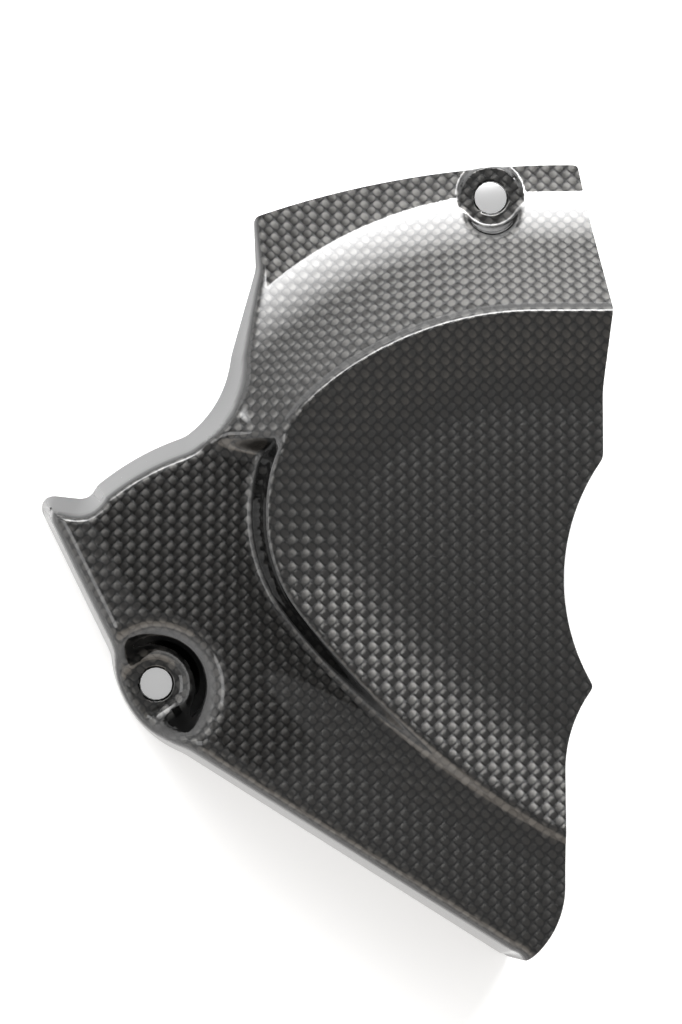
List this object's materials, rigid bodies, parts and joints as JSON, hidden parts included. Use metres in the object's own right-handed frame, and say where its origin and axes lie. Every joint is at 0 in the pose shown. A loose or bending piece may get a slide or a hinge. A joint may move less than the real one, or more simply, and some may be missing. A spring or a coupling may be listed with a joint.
{
  "type": "sprocket cover",
  "caption": "Thin woven carbon fibre shell over a motorbike's front sprocket: dished centre inside a raised crest, sloping shoulder, side lobe, scalloped open edge and bolt seats.",
  "frame": {"origin": "midway between the two bolt holes, on the plane under the bolt seats", "axes": "+Z along the bolts, out of the outer skin; +X towards the open, scalloped side; +Y towards the flange with the upper bolt"},
  "size_m": [0.1227, 0.1723, 0.026],
  "materials": {
    "carbon": "woven carbon fibre under a smooth, glossy clear coat; matt weave on the inner face"
  },
  "bodies": {
    "root": {"sprocket_cover": "carbon"}
  },
  "joints": []
}
